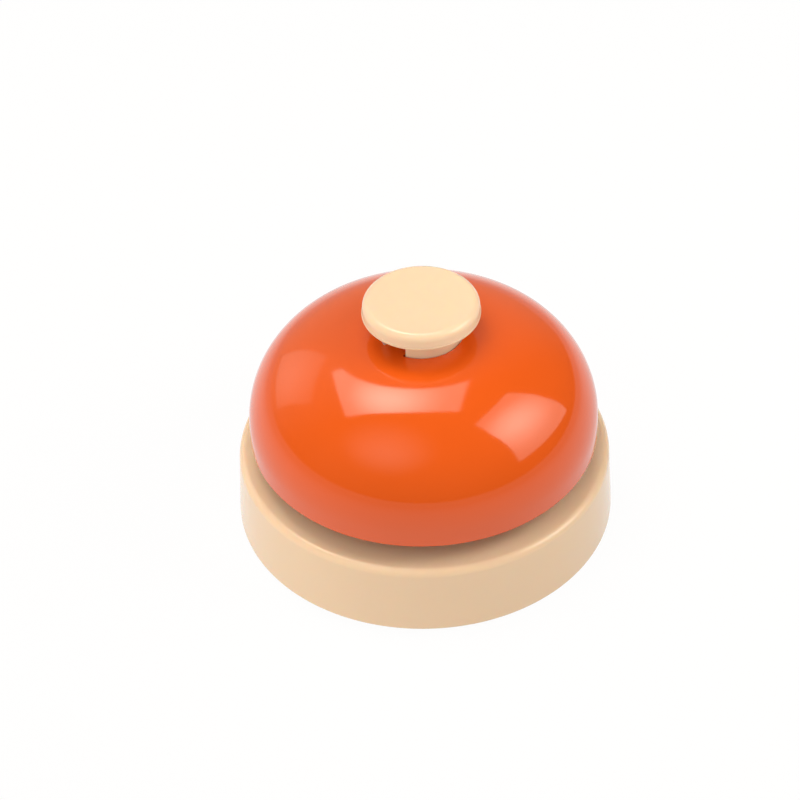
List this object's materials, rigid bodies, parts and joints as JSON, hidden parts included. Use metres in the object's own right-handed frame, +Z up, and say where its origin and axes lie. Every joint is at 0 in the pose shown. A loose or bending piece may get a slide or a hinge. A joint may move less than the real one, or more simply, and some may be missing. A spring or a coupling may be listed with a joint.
{
  "type": "pet training bell",
  "caption": "Press-button bell: a glossy orange dome over a round cream base, with a cream mushroom button on top that swings a hammer inside against the dome.",
  "frame": {"origin": "on the bell's axis, at the table under the rubber feet", "axes": "+Z up along the bell's axis, +X from the post towards the hammer, +Y completes the frame; the picture looks along +Y"},
  "size_m": [0.075, 0.075, 0.0515],
  "materials": {
    "cream_abs": "satin moulded, cream",
    "orange_paint": "glossy orange enamel",
    "white_acetal": "natural white",
    "black_rubber": "matt black",
    "zinc_steel": "bright zinc plate",
    "spring_steel": "drawn wire",
    "brass": "plain"
  },
  "bodies": {
    "stand": {"base_housing": "cream_abs", "bottom_cover": "cream_abs", "cover_screws": "zinc_steel", "rubber_feet": "black_rubber", "post": "zinc_steel", "post_screw": "zinc_steel", "post_washer": "zinc_steel", "stop_washer": "zinc_steel", "dome_cushion": "black_rubber", "bell_dome": "orange_paint", "dome_washer": "white_acetal", "dome_screw": "zinc_steel", "return_spring": "spring_steel", "striker_bracket": "zinc_steel", "bracket_screws": "zinc_steel", "striker_pin": "zinc_steel"},
    "button": {"button_cap": "cream_abs", "plunger_sleeve": "white_acetal"},
    "striker": {"striker_lever": "zinc_steel", "hammer_ball": "brass"}
  },
  "joints": [
    {"name": "button_press", "type": "slide", "parent": "stand", "child": "button", "axis": [0, 0, -1], "range_m": [0, 0.003], "stiffness_N_per_m": 340, "springref_m": -0.004, "deforming": ["return_spring"]},
    {"name": "striker_swing", "type": "hinge", "parent": "stand", "child": "striker", "pos_m": [0.015, 0, 0.0317], "axis": [0, -1, 0], "range_deg": [0, 24.1]}
  ],
  "couplings": [
    {"joint": "striker_swing", "follows": "button_press", "rad_per_m": 139.91}
  ]
}
